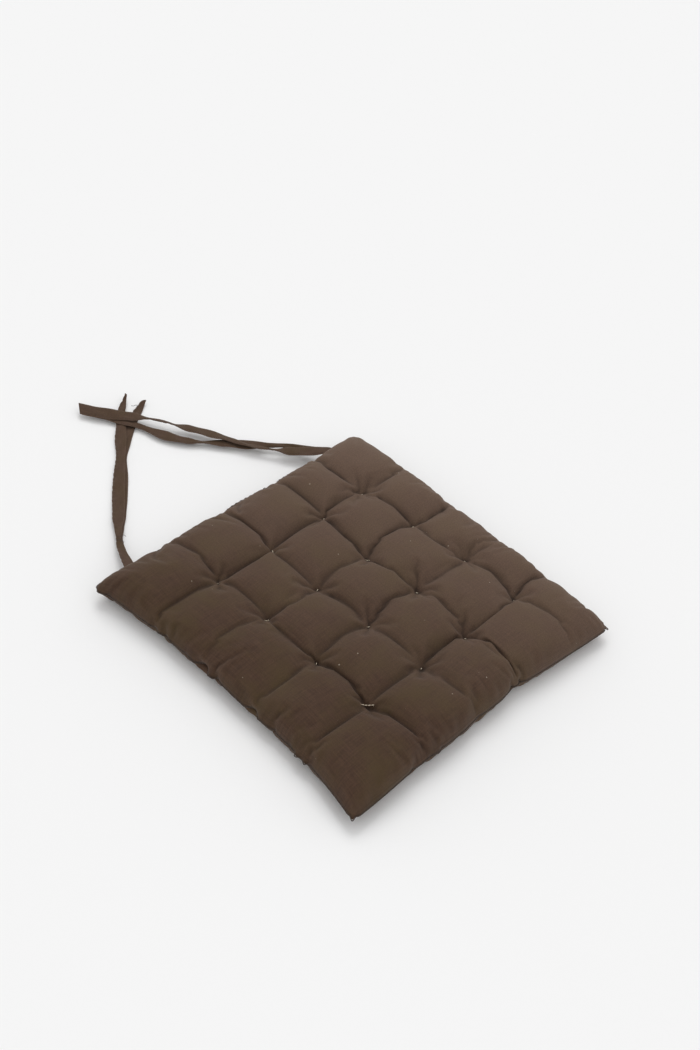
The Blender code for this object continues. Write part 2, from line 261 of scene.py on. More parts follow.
# Two or three plies twisted together: slanting plies in the thread's own colour, with painted shade as dark
# lines in the grooves between them.
# gap is painted shade for the grooves between the plies
brownThread = {"ply": "#4c3c32", "gap": "#2e241d", "twistMm": 1.1, "roughness": 0.7}
creamThread = {"ply": "#cdbfaa", "gap": "#7d6c58", "twistMm": 1.4, "roughness": 0.75}


def twistedThread(name, look):
    made, tree = newMaterial(name)
    run = addNode(tree, "UVMap", uv_map="cloth")
    twist = addNode(tree, "TexWave", {"Vector": run, "Scale": 1 / (look["twistMm"] * mm) / 4,
                                      "Distortion": 0.6, "Detail": 1.0},
                    wave_type="BANDS", bands_direction="DIAGONAL").outputs["Fac"]
    fuzz = addNode(tree, "TexNoise", {"Vector": run, "Scale": 900.0, "Detail": 3.0})
    share = addNode(tree, "MapRange", {"Value": twist, "From Min": 0.1, "From Max": 0.7})
    fleck = addNode(tree, "MapRange", {"Value": fuzz, "To Min": 0.85, "To Max": 1.12})
    # painted shade: the gap colour darkens the grooves, where the twist's bump is low
    plies = addNode(tree, "Mix", {0: share, 6: toLinear(look["gap"]), 7: toLinear(look["ply"])},
                    data_type="RGBA").outputs[2]
    colour = addNode(tree, "Mix", {0: 1.0, 6: plies, 7: fleck}, data_type="RGBA",
                     blend_type="MULTIPLY").outputs[2]
    rough = addNode(tree, "Math", {0: fuzz, 1: 0.15, 2: look["roughness"] - 0.07},
                    operation="MULTIPLY_ADD")
    inputs = {"Base Color": colour, "Roughness": rough, "Specular IOR Level": 0.35, "IOR": 1.53,
              "Sheen Weight": 0.15}
    finishMaterial(tree, inputs, twist, 0.5, 0.2 * mm)
    return made


# Polyester staple carded into a soft white batt: a fibrous matt mass, with painted shade darkening its
# hollows.
wadding = {"fibre": "#eeebe4", "paintedHollowShade": "#c9c4ba", "fibreMm": 2.2, "roughness": 0.95}


def cardedFibre(name, look):
    made, tree = newMaterial(name)
    place = addNode(tree, "TexCoord").outputs["Object"]
    tangle = addNode(tree, "TexNoise", {"Vector": place, "Scale": 1 / (look["fibreMm"] * mm),
                                        "Detail": 6.0, "Distortion": 2.5})
    lumps = addNode(tree, "TexNoise", {"Vector": place, "Scale": 60.0, "Detail": 2.0})
    both = addNode(tree, "Math", {0: lumps, 1: 0.6, 2: tangle}, operation="MULTIPLY_ADD")
    share = addNode(tree, "MapRange", {"Value": both, "From Min": 0.55, "From Max": 1.0})
    # painted shade: the hollows of the bump drawn darker
    colour = addNode(tree, "Mix", {0: share, 6: toLinear(look["paintedHollowShade"]), 7: toLinear(look["fibre"])},
                     data_type="RGBA").outputs[2]
    inputs = {"Base Color": colour, "Roughness": look["roughness"], "Specular IOR Level": 0.3,
              "IOR": 1.57, "Sheen Weight": 0.3}
    finishMaterial(tree, inputs, both, 0.6, 1.0 * mm)
    return made


# Matt paper roll swept under the object: a plain pale ground with the faintest tooth.
paper = {"tone": "#f4f4f4", "grainMm": 1.6, "roughness": 0.9}


def mattPaper(name, look):
    made, tree = newMaterial(name)
    place = addNode(tree, "TexCoord").outputs["Object"]
    grain = addNode(tree, "TexNoise", {"Vector": place, "Scale": 1 / (look["grainMm"] * mm), "Detail": 3.0})
    tone = toLinear(look["tone"])
    # painted shade: the dips of the tooth a trace darker
    low = tuple(c * 0.995 for c in tone[:3]) + (1,)
    colour = addNode(tree, "Mix", {0: grain, 6: low, 7: tone}, data_type="RGBA").outputs[2]
    inputs = {"Base Color": colour, "Roughness": look["roughness"], "Specular IOR Level": 0.2}
    finishMaterial(tree, inputs, grain, 0.04, 0.1 * mm)
    return made


coverCloth = wovenCotton("plain_weave_dyed_cotton", coverCotton)
tieCloth = wovenCotton("plain_weave_dyed_cotton_tape", tieCotton)
seamThread = twistedThread("spun_polyester_sewing_thread", brownThread)
tuftThread = twistedThread("undyed_cotton_twine", creamThread)
waddingFibre = cardedFibre("carded_polyester_wadding", wadding)
floorPaper = mattPaper("matt_paper_sweep", paper)


def readRows(items, name, width, kind=float):  # one property of every item, a row for each
    found = np.zeros(len(items) * width, kind)
    items.foreach_get(name, found)
    return found.reshape(-1, width)


class Shape:  # vertices, faces, cloth coordinates in metres, and a material number per face
    def __init__(self):
        self.verts = []
        self.faces = []
        self.cloth = []
        self.finish = []

    def add(self, verts, faces, cloth, finish=0):
        first = len(self.verts)
        self.verts += [tuple(v) for v in verts]
        self.faces += [[i + first for i in face] for face in faces]
        self.cloth += [tuple(c) for c in cloth]
        self.finish += [finish] * len(faces)

    def piece(self, name, materials):
        mesh = bpy.data.meshes.new(name)
        mesh.from_pydata(self.verts, [], self.faces)
        layer = mesh.uv_layers.new(name="cloth")
        corners = readRows(mesh.loops, "vertex_index", 1, int).ravel()
        layer.uv.foreach_set("vector", np.array(self.cloth, np.float32)[corners].ravel())
        for finish in materials:
            mesh.materials.append(finish)
        mesh.polygons.foreach_set("material_index", np.array(self.finish, np.int32))
        mesh.polygons.foreach_set("use_smooth", np.full(len(mesh.polygons), True))
        mesh.validate()
        return addObject(name, mesh)


def mark(piece, name, values):  # a value for each vertex, which the cloth's material reads
    layer = piece.data.attributes.new(name, "FLOAT", "POINT")
    layer.data.foreach_set("value", np.array(values, np.float32))


def ringFaces(rings, around):  # side faces of a closed tube of rings, with flat caps
    faces = []
    for r in range(rings - 1):
        for k in range(around):
            a, b = r * around + k, r * around + (k + 1) % around
            faces.append((a, b, b + around, a + around))
    faces.append(tuple(reversed(range(around))))
    faces.append(tuple((rings - 1) * around + k for k in range(around)))
    return faces


def smoothLine(points, step):  # points a step apart on a Catmull-Rom curve through the given ones
    ends = [2 * points[0] - points[1], *points, 2 * points[-1] - points[-2]]
    fine = []
    for a, b, c, d in zip(ends, ends[1:], ends[2:], ends[3:]):
        for i in range(12):
            t = i / 12
            bend = 2 * a - 5 * b + 4 * c - d
            twist = 3 * b - a - 3 * c + d
            fine.append((2 * b + (c - a) * t + bend * t**2 + twist * t**3) / 2)
    fine.append(points[-1])
    lengths = [0.0]
    for a, b in zip(fine, fine[1:]):
        lengths.append(lengths[-1] + (b - a).length)
    count = max(2, round(lengths[-1] / step))
    at = np.linspace(0, lengths[-1], count + 1)
    axes = [np.interp(at, lengths, [p[k] for p in fine]) for k in range(3)]
    return [Vector(p) for p in zip(*axes)], at


def addThread(shape, points, radius, finish=0, around=6, sizes=None):  # a round thread along points
    verts, cloth = [], []
    long = 0.0
    side = None
    for i, point in enumerate(points):
        before, after = points[max(i - 1, 0)], points[min(i + 1, len(points) - 1)]
        ahead = (after - before).normalized()
        if side is None:
            side = ahead.orthogonal().normalized()
        side = (side - ahead * side.dot(ahead)).normalized()
        other = ahead.cross(side)
        long += (point - before).length if i else 0.0
        size = radius * (sizes[i] if sizes else 1.0)
        if i in (0, len(points) - 1):
            size *= 0.6
        for k in range(around):
            turn = 2 * math.pi * k / around
            verts.append(point + (side * math.cos(turn) + other * math.sin(turn)) * size)
            cloth.append((long, k / around * 2 * math.pi * radius))
    shape.add(verts, ringFaces(len(points), around), cloth, finish)


print("stage 2: ties")

# Each way over the floor is steps in x and y from the root and the height of its middle, in mm.
# A fold is the place along the tie, its width and its roll, in mm and degrees.
ties = {
    "tieLeftUpper": {
        "which": "left_upper",
        "lift": 1,
        "route": [(17, 37, 9.2), (35, 62, 5.4), (56, 87, 3.4), (78, 114, 2.8), (101, 140, 2.8),
                  (118, 159, 2.8), (135, 180, 2.8), (153, 201, 2.8), (168, 219, 2.8), (189, 236, 2.8)],
        "folds": [(0, 11, 0), (36, 9, 6), (56, 6, 10), (72, 9, 8), (90, 14, 4), (120, 15, 0), (155, 14, 0),
                  (199, 11, 0), (226, 14, 0), (255, 12, 0), (284, 9, 0), (306, 3, 0)],
        "slant": 0.5,
        "tipLift": 5,
    },
    "tieLeftLower": {
        "which": "left_lower",
        "lift": -1,
        "route": [(17, 35, 6.2), (35, 60, 2.8), (56, 84, 1.2), (79, 110, 0.9), (101, 136, 0.9),
                  (118, 156, 0.9), (138, 175, 0.9), (160, 193, 0.9), (181, 206, 0.9), (200, 216, 0.9)],
        "folds": [(0, 11, 0), (36, 9, 0), (57, 7, 0), (75, 11, 0), (95, 14, 0), (125, 15, 0), (160, 15, 0),
                  (196, 11, 0), (224, 14, 0), (250, 14, 0), (280, 11, 0), (301, 6, 0)],
        "slant": -0.6,
        "tipLift": 4,
    },
    "tieRightUpper": {
        "which": "right_upper",
        "lift": 1,
        "route": [(-21, 20, 12.6), (-36, 36, 11.0), (-49, 52, 10.0), (-62, 71, 9.4), (-75, 98, 9.0),
                  (-90, 126, 9.0), (-105, 151, 9.0), (-114, 169, 8.6), (-125, 185, 8.2),
                  (-141, 203, 8.0), (-156, 220, 8.0), (-168, 235, 8.0), (-177, 249, 8.0)],
        "folds": [(0, 12, 0), (16, 15, 0), (46, 15, 0), (66, 6, 25), (95, 8, 20), (118, 9, 14),
                  (142, 15, 10), (172, 14, 8), (199, 6, 34), (222, 7, 24), (246, 14, -8),
                  (280, 16, -14), (309, 15, -16)],
        "slant": -0.45,
        "tipLift": 0,
    },
    "tieRightLower": {
        "which": "right_lower",
        "lift": -1,
        "route": [(-14, 27, 10.4), (-28, 45, 8.4), (-45, 61, 7.2), (-62, 77, 6.4), (-82, 97, 6.0),
                  (-99, 113, 5.6), (-114, 130, 5.2), (-126, 151, 4.9), (-134, 171, 4.8),
                  (-141, 187, 4.8), (-149, 202, 4.8), (-159, 220, 4.8), (-169, 237, 4.8)],
        "folds": [(0, 12, 0), (20, 7, -10), (46, 6, -15), (72, 7, -10), (96, 15, -4), (125, 13, 0),
                  (151, 6, 15), (172, 12, 5), (198, 16, 0), (229, 8, 0), (255, 12, 0), (296, 11, 0)],
        "slant": -0.3,
        "tipLift": 0,
    },
}
for spec in ties.values():
    which = spec["which"]
    spec.update(body=which + "_tie", joint=which + "_swing", node="tie_" + which)
tape = {
    "thickness": 1.5,  # mm, the strip's four layers pressed flat
    "layerGap": 1.2,  # mm between the two tails of a pair at their root
    "ringStep": 2.5,  # mm
    "halfSection": 22,  # steps across one face
    "stitchPlace": 0.72,  # share of the half width
    "stitchGroove": 0.35,  # how deep the stitches pull the cloth, as a share of its thickness
    "grooveWidth": 0.09,
    "foldPower": 5,  # higher keeps the strip flat nearer to its folded edges
    "flatMm": 14.0,  # narrower than this, the strip is bunched and thicker
    "bunching": 0.45,
    "stitchMm": 3.2,
    "seamFrom": 10.0,  # mm from the strip's start to its first stitch
    "seamLess": 14.0,  # mm that its seam is shorter than the strip
    "threadMm": 0.22,
    "looseMm": 0.28,  # radius of a loose thread end
    "puckerMm": 0.22,
    "puckerPitchMm": 7.5,
    "pucker2PitchMm": 11.3,
    "edgeMm": 0.25,  # how far the stitched edge strays from straight
    "swayMm": 0.35,
    "swayPitchMm": 31.0,
    "slantMm": 15.0,  # length of the slanting cut at the end
    "tipMm": 18.0,  # length of the end that lifts off the floor
    "floorGap": 0.12,  # mm
    "blendMm": 26.0,
    "insideMm": 7.0,  # how far the strip reaches into the seam
}


class Strip:  # one tail: a folded and stitched flat strip along its smooth route
    def __init__(self, spec, seed):
        self.spec = spec
        self.pivot = Vector(joints[spec["joint"]]["pos_m"])
        lift = spec["lift"] * tape["layerGap"] * mm
        ground = Vector((self.pivot.x, self.pivot.y, 0))
        points = [Vector((0, 0, self.pivot.z + lift))] + [Vector(spot) * mm for spot in spec["route"]]
        points = [Vector((0, -tape["insideMm"] * mm, self.pivot.z + lift * 0.6))] + points
        line, places = smoothLine([ground + p for p in points], tape["ringStep"] * mm)
        self.places = places - tape["insideMm"] * mm
        self.long = float(self.places[-1])
        tip = tape["tipMm"] * mm
        near = np.clip((self.places - (self.long - tip)) / tip, 0, 1)
        for point, share in zip(line, near):
            point.z += spec["tipLift"] * mm * share * share
        self.line = line
        stops = [f[0] * mm for f in spec["folds"]]
        stops[-1] = self.long
        self.width = self.eased(stops, [f[1] * mm for f in spec["folds"]])
        self.roll = self.eased(stops, [math.radians(f[2]) for f in spec["folds"]])
        self.phase = seed * 1.7
        self.frames = []
        for i, point in enumerate(line):
            before, after = line[max(i - 1, 0)], line[min(i + 1, len(line) - 1)]
            ahead = (after - before).normalized()
            across = Vector((-ahead.y, ahead.x, 0)).normalized()
            turn = Matrix.Rotation(self.roll[i], 3, ahead)
            self.frames.append((point, ahead, turn @ across, turn @ ahead.cross(across)))

    def eased(self, stops, values):  # values at the stops, eased between them
        stops, values = np.array(stops), np.array(values)
        k = np.clip(np.searchsorted(stops, self.places) - 1, 0, len(stops) - 2)
        t = np.clip((self.places - stops[k]) / (stops[k + 1] - stops[k]), 0, 1)
        t = t * t * (3 - 2 * t)
        return values[k] * (1 - t) + values[k + 1] * t

    def spot(self, row, share, face):  # a place on the strip: along in rings, across -1 to 1, face 1 or -1
        low = int(np.clip(math.floor(row), 0, len(self.frames) - 2))
        t = row - low
        mix = [a.lerp(b, t) for a, b in zip(self.frames[low], self.frames[low + 1])]
        point, ahead, across, up = mix
        half = (self.width[low] * (1 - t) + self.width[low + 1] * t) / 2
        place = self.places[low] * (1 - t) + self.places[low + 1] * t
        bunched = 1 - np.clip(2 * half / (tape["flatMm"] * mm), 0, 1)
        thick = tape["thickness"] * mm / 2 * (1 + tape["bunching"] * bunched)
        rounded = max(0.0, 1 - abs(share) ** tape["foldPower"]) ** 0.5
        beside = (share - tape["stitchPlace"]) / tape["grooveWidth"]
        groove = 1 - tape["stitchGroove"] * math.exp(-(beside**2))
        turns = 2 * math.pi * place / mm
        wave = math.sin(turns / tape["puckerPitchMm"] + self.phase)
        wave += 0.6 * math.sin(turns / tape["pucker2PitchMm"] + 2.1 * self.phase)
        nearEdge = math.exp(-(((share - 0.85) / 0.4) ** 2))  # puckers gather along the stitched edge
        sway = math.sin(turns / tape["swayPitchMm"] + self.phase + 2.2 * share)
        ripple = (tape["puckerMm"] * wave * nearEdge + tape["swayMm"] * sway) * mm
        slant = tape["slantMm"] * mm
        end = np.clip((place - self.long + slant) / slant, 0, 1)
        forward = ahead * (self.spec["slant"] * share * half * end * end)
        edge = across * (share * half + tape["edgeMm"] * mm * wave * max(0.0, share))
        found = point + edge + up * (thick * rounded * groove * face + ripple) + forward
        found.z = max(found.z, tape["floorGap"] * mm + 0.05 * mm * (face + 1))
        return found


def makeTie(name, spec, seed):
    strip = Strip(spec, seed)
    shape = Shape()
    steps = tape["halfSection"]
    shares = [math.sin(math.pi / 2 * (2 * k / steps - 1)) for k in range(steps + 1)]
    section = [(s, 1) for s in shares] + [(s, -1) for s in reversed(shares[1:-1])]
    verts, cloth = [], []
    for row in range(len(strip.line)):
        for s, face in section:
            verts.append(strip.spot(row, s, face))
            cloth.append((strip.places[row] + 0.5, (s if face > 0 else 2.4 - s) * 8 * mm))
    shape.add(verts, ringFaces(len(strip.line), len(section)), cloth)
    perRing = strip.long / (len(strip.line) - 1)
    stitch = tape["stitchMm"] * mm
    count = int((strip.long - tape["seamLess"] * mm) / stitch)
    for face in (1, -1):
        for k in range(count):
            start = (tape["seamFrom"] * mm + k * stitch) / perRing
            dots = []
            for part, lift in ((0.1, -0.2), (0.3, 0.12), (0.5, 0.2), (0.7, 0.12), (0.9, -0.2)):
                row = min(start + stitch * part / perRing, len(strip.line) - 1.01)
                on, under = [strip.spot(row, tape["stitchPlace"], way) for way in (face, -face)]
                dots.append(on + (on - under).normalized() * lift * mm)
            if min(d.z for d in dots) > 0.3 * mm:  # a stitch pressed to the floor isn't seen
                addThread(shape, dots, tape["threadMm"] * mm, finish=1, around=5)
    for place, reach in looseEnds.get(name, []):
        root = strip.spot(place * mm / perRing, 0.9, 1)
        dots = [root + Vector(step) * mm for step in reach]
        loose = smoothLine([root] + dots, 0.8 * mm)[0]
        addThread(shape, loose, tape["looseMm"] * mm, finish=1, around=5)
    piece = shape.piece(name, [tieCloth, seamThread])
    rubAndHighlight = np.zeros(len(piece.data.vertices))
    ring = [0.9 * abs(s) ** 8 for s, face in section]  # the folded edges are paler: partly wear, partly painted highlight
    rubAndHighlight[:len(strip.line) * len(section)] = np.tile(ring, len(strip.line))
    mark(piece, "rubAndHighlight", rubAndHighlight)
    start = strip.pivot - Vector((0, 1 * mm, 0))
    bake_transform(piece)
    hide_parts(spec["node"])


# Loose ends of sewing thread: the place along the tie, then steps from there, in mm.
looseEnds = {
    "tieLeftUpper": [(56, [(1.5, -2.5, 1.0), (3.5, -5.0, 0.6), (4.0, -8.0, 0.4), (1.5, -10.0, 0.3)]),
                     (60, [(2.5, -1.0, 1.2), (5.0, -3.5, 1.6), (8.5, -3.0, 0.8), (9.0, -6.0, 0.3)])],
    "tieLeftLower": [(292, [(-2.0, 1.5, 1.0), (-4.5, 2.0, 0.6), (-6.5, 4.5, 0.3)])],
}
for seed, (name, spec) in enumerate(ties.items(), start=1):
    makeTie(name, spec, seed)

print("stage 3: cushion")

cushion = {
    "cells": 120,  # each side of both panels
    "puff": 21.0,  # mm over the seam, the height that a puff is cut for
    "tuft": 3.0,  # mm over the seam at a tuft
    "underPuff": 15.0,  # the same two under the seam
    "underTuft": 3.0,
    "valleys": (0.3, 0.72),  # lowest and highest crease between tufts, as a share of the puffs
    "bow": 7.0,  # mm that a crease wanders between its tufts
    "pleat": 2.2,  # mm, height of the pleats that spread from a tuft
    "pleatReach": 17.0,
    "gather": 1.3,  # mm, height of the puckers along the rim
    "gatherPitch": 13.0,
    "crease": 0.48,  # below 1 gives round puffs with sharp creases
    "edgePower": 14,  # higher keeps the border puffs full nearer to the seam
    "cornerRadius": 12.0,  # mm
    "uneven": 0.12,  # how much the hand-filled puffs differ
    "pressure": 11.0,  # the stuffing's push, in the simulation's units
    "growth": 0.045,  # the panels' spare cloth, taken up in puckers
    "stretch": 60.0,  # the cloth's stiffness in three ways
    "shear": 30.0,
    "bend": 0.16,
    "damping": 5.0,
    "bendDamping": 0.5,
    "hold": 10.0,  # how firmly the tufts and the rim's held places stay put
    "mass": 0.3,
    "quality": 8,  # solver steps a frame
    "frames": 20,
    "tuftTop": 21.0,  # mm over the floor
    "tuftBottom": 12.0,
    "leftPull": 15.0,  # mm, how far the left edge is drawn in before it swells
    # mm that the creases draw the rim in, where they reach it, from the first column or row on
    "rimDraw": {"left": (13, 22, 24, 16), "right": (2, -1, -2, 0), "back": (3, 4, 7, 7)},
    # how far each corner's tip pokes out, in mm, and its height above the floor
    "tips": {(-1, 1): (0, 15), (1, 1): (0, 15), (1, -1): (2.5, 11), (-1, -1): (1.5, 10)},
    "restHeight": 5.0,  # mm over the floor, below which the underside is pressed flat
    "floorGap": 0.15,
    "fullBulge": 1.1,  # mm, a crest this sharp gets all the pale wear and painted highlight, a crease this sharp all the painted shade
    "cloth": 0.8,  # mm, each panel's thickness
    "fillInset": 1.2,  # mm between the filling and the panels
}
# Each tuft is a hand-tied stitch, so each sits a little off the marked grid: steps in mm, row by row.
tuftSteps = [
    [(-2.5, -0.5), (1.5, -1.5), (5.5, 0.5), (-8.5, 1.5)],
    [(1.5, 2.5), (-1.5, 0.5), (-2.5, -1.5), (-0.5, 3.5)],
    [(0.5, 1.5), (3.5, 3.5), (4.5, 5.5), (4.5, 4.5)],
    [(-1.5, 1.5), (4.5, 2.5), (-4.5, 1.5), (2.5, 5.5)],
]
padLow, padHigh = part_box("cover_bottom")
padHalf = (padHigh.y - padLow.y) / 2
seamLow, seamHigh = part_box("edge_seam")
seamHeight = (seamLow.z + seamHigh.z) / 2


tuftCells = [(row, column) for row in range(1, 5) for column in range(1, 5)]


def tuftPlace(row, column):
    low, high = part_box(f"tuft_stitch_{row}_{column}")
    step = tuftSteps[row - 1][column - 1]
    return Vector(((low.x + high.x) / 2 + step[0] * mm, (low.y + high.y) / 2 + step[1] * mm, 0))


def flatPlaces(cells):  # places over both panels' flat cut, -1 to 1 each way
    steps = np.linspace(-1, 1, cells + 1)
    return list(np.meshgrid(steps, steps))


def bluntCorners(x, y):  # the square outline with its corners turned on a small radius
    radius = cushion["cornerRadius"] * mm
    start = padHalf - radius
    dx = np.clip((np.abs(x) - start) / radius, 0, 1)
    dy = np.clip((np.abs(y) - start) / radius, 0, 1)
    roundX = dx * np.sqrt(1 - dy**2 / 2)
    roundY = dy * np.sqrt(1 - dx**2 / 2)
    return (x + np.sign(x) * (roundX - dx) * radius, y + np.sign(y) * (roundY - dy) * radius)


def creaseLines(place, other, spots, bows):  # how near each place is to a crease, and which one
    lines, spans = [], []
    for stops, bow in zip(spots, bows):  # one line of four tufts
        at = np.array([p[1] for p in stops])
        reach = np.searchsorted(at, other)
        edges = np.concatenate([[-padHalf], at, [padHalf]])
        share = np.clip((other - edges[reach]) / (edges[reach + 1] - edges[reach]), 0, 1)
        line = np.interp(other, at, [p[0] for p in stops])
        lines.append(line + bow[reach] * np.sin(np.pi * share))
        spans.append(reach)
    away = np.abs(place - np.array(lines))
    nearest = np.argmin(away, axis=0)
    half = (lines[3] - lines[0]) / 6
    wave = np.sin(np.pi / 2 * np.clip(away.min(axis=0) / half, 0, 1)) ** cushion["crease"]
    span = np.take_along_axis(np.array(spans), nearest[None], axis=0)[0]
    band = np.sum(place > np.array(lines), axis=0)
    return wave, nearest, span, band


def puffShares(x, y):  # 1 on a puff, less in a crease, 0 at a tuft, and each puff a little different
    spots = [[tuftPlace(row, column) for column in range(1, 5)] for row in range(4, 0, -1)]
    columns = [[(spots[r][c].x, spots[r][c].y) for r in range(4)] for c in range(4)]
    rows = [[(spots[r][c].y, spots[r][c].x) for c in range(4)] for r in range(4)]
    bow = cushion["bow"] * mm
    across, column, columnSpan, bandX = creaseLines(x, y, columns, random.uniform(-bow, bow, (4, 5)))
    along, row, rowSpan, bandY = creaseLines(y, x, rows, random.uniform(-bow, bow, (4, 5)))
    low, high = cushion["valleys"]
    valleyX = random.uniform(low, high, (4, 5))[column, columnSpan]
    valleyY = random.uniform(low, high, (4, 5))[row, rowSpan]
    share = across * along + valleyX * (1 - across) * along + valleyY * (1 - along) * across
    fullness = 1 + cushion["uneven"] * random.uniform(-1, 1, (5, 5))
    share = share * fullness[bandY, bandX] ** (across * along)
    for r in range(4):  # pleats that gather round each tuft
        for c in range(4):
            dx, dy = x - spots[r][c].x, y - spots[r][c].y
            far = np.hypot(dx, dy) / (cushion["pleatReach"] * mm)
            turn = np.arctan2(dy, dx)
            count = random.integers(5, 8)
            pleat = np.cos(count * turn + random.uniform(0, 6.28)) * far * np.exp(-far**2)
            share = share + pleat * cushion["pleat"] / cushion["puff"]
    return share


def edgeGathers(x, y):  # puckers that the seam draws along the rim, in mm of height
    toRim = padHalf - np.maximum(np.abs(x), np.abs(y))
    run = np.where(np.abs(x) > np.abs(y), y, x) + 0.013 * np.sin(9 * (x + y) / padHalf)
    wave = np.sin(2 * np.pi * run / (cushion["gatherPitch"] * mm))
    wave = wave + 0.7 * np.sin(2 * np.pi * run / (cushion["gatherPitch"] * 1.63 * mm) + 1)
    return cushion["gather"] * wave * np.exp(-toRim / (14 * mm)) * np.clip(toRim / (4 * mm), 0, 1)


def pillowPlaces():  # both panels joined at their rim, already quilted, as they are cut and eased
    across, along = flatPlaces(cushion["cells"])
    x, y = across * padHalf, along * padHalf
    share = puffShares(x, y)
    power = cushion["edgePower"]
    falloff = np.sqrt(np.clip((1 - across**power) * (1 - along**power), 0, 1))
    left = np.clip(-across, 0, 1)
    x, y = bluntCorners(x, y)
    x = x + cushion["leftPull"] * mm * left**4 * (1 - along**4)
    gather = edgeGathers(across * padHalf, along * padHalf) * mm
    tall = (cushion["tuft"] + (cushion["puff"] - cushion["tuft"]) * share) * mm * falloff
    deep = (cushion["underTuft"] + (cushion["underPuff"] - cushion["underTuft"]) * share) * mm * falloff
    top = np.dstack([x, y, seamHeight + tall + gather * falloff])
    bottom = np.dstack([x, y, seamHeight - deep - gather * falloff])
    return top, bottom


def pillowNumbers():  # vertex numbers of both panels' grids, shared at the rim
    side = cushion["cells"] + 1
    top = np.arange(side * side).reshape(side, side)
    bottom = top.copy()
    inner = (slice(1, -1), slice(1, -1))
    bottom[inner] = side * side + np.arange((side - 2) ** 2).reshape(side - 2, side - 2)
    return top, bottom


def gridFaces(numbers, flip):
    a, b = numbers[:-1, :-1].ravel(), numbers[:-1, 1:].ravel()
    c, d = numbers[1:, 1:].ravel(), numbers[1:, :-1].ravel()
    order = (a, d, c, b) if flip else (a, b, c, d)
    return np.stack(order, axis=1)


def nearestCell(place):
    cells = cushion["cells"]
    column = round((place.x / padHalf + 1) / 2 * cells)
    row = round((place.y / padHalf + 1) / 2 * cells)
    return row, column


def swell():  # the stuffed and tufted bag, found by simulation
    topPlaces, bottomPlaces = pillowPlaces()
    topNumbers, bottomNumbers = pillowNumbers()
    count = int(bottomNumbers.max()) + 1
    places = np.zeros((count, 3))
    places[bottomNumbers.ravel()] = bottomPlaces.reshape(-1, 3)
    places[topNumbers.ravel()] = topPlaces.reshape(-1, 3)
    held = []
    for row, column in tuftCells:
        spot = tuftPlace(row, column)
        cell = nearestCell(spot)
        for numbers, height in ((topNumbers, "tuftTop"), (bottomNumbers, "tuftBottom")):
            k = int(numbers[cell])
            places[k] = (spot.x, spot.y, cushion[height] * mm)
            held.append(k)
    for (right, back), (out, height) in cushion["tips"].items():
        k = int(topNumbers[-1 if back > 0 else 0, -1 if right > 0 else 0])
        reach = padHalf - cushion["cornerRadius"] * mm * 0.3 + out * mm
        places[k] = (right * reach, back * reach, height * mm)
        held.append(k)
    for name in ("tie_root_left", "tie_root_right"):
        low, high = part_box(name)
        column = nearestCell(Vector(((low.x + high.x) / 2, padHalf, 0)))[1]
        for step in (-1, 0, 1):
            k = int(topNumbers[-1, column + step])
            places[k, 1] = high.y - 1.6 * mm
            held.append(k)
    rims = {"left": (topNumbers[:, 0], 0, -1), "right": (topNumbers[:, -1], 0, 1),
            "back": (topNumbers[-1], 1, 1)}
    for side, (rim, axis, way) in rims.items():
        for k, draw in enumerate(cushion["rimDraw"][side]):
            nearby = {"left": (4 - k, 1), "right": (4 - k, 4), "back": (1, k + 1)}[side]
            middle = nearestCell(tuftPlace(*nearby))[axis]
            for step, share in ((-2, 0.82), (-1, 0.95), (0, 1), (1, 0.95), (2, 0.82)):
                number = int(rim[middle + step])
                places[number, axis] = way * (padHalf - draw * mm * share)
                held.append(number)
    faces = np.concatenate([gridFaces(topNumbers, False), gridFaces(bottomNumbers, True)])
    mesh = bpy.data.meshes.new("swelling")
    mesh.from_pydata(places.tolist(), [], faces.tolist())
    bag = addObject("swelling", mesh)
    group = bag.vertex_groups.new(name="held")
    group.add(held, 1.0, "REPLACE")
    cloth = bag.modifiers.new("cloth", "CLOTH")
    settings = {
        "quality": cushion["quality"],
        "mass": cushion["mass"],
        "tension_stiffness": cushion["stretch"],
        "compression_stiffness": cushion["stretch"],
        "shear_stiffness": cushion["shear"],
        "bending_stiffness": cushion["bend"],
        "tension_damping": cushion["damping"],
        "compression_damping": cushion["damping"],
        "shear_damping": cushion["damping"],
        "bending_damping": cushion["bendDamping"],
        "bending_model": "ANGULAR",
        "use_pressure": True,
        "uniform_pressure_force": cushion["pressure"],
        "shrink_min": -cushion["growth"],
        "shrink_max": -cushion["growth"],
        "vertex_group_mass": "held",
        "pin_stiffness": cushion["hold"],
    }
    for name, value in settings.items():
        setattr(cloth.settings, name, value)
    cloth.settings.effector_weights.gravity = 0
    cloth.collision_settings.use_collision = False
    cloth.point_cache.frame_start = 1
    cloth.point_cache.frame_end = cushion["frames"]
    for frameNumber in range(1, cushion["frames"] + 1):
        scene.frame_set(frameNumber)
    settled = bag.evaluated_get(bpy.context.evaluated_depsgraph_get()).to_mesh()
    places = readRows(settled.vertices, "co", 3)
    scene.frame_set(1)
    bpy.data.objects.remove(bag)
    return places, topNumbers, bottomNumbers


def pressFlat(places):  # the underside lies on the floor: what would sink is pressed flat, softly
    rest = cushion["restHeight"] * mm
    floorGap = cushion["floorGap"] * mm
    z = places[:, 2]
    low = z < rest
    z[low] = floorGap + (rest - floorGap) * np.exp((z[low] - rest) / rest)
    return places


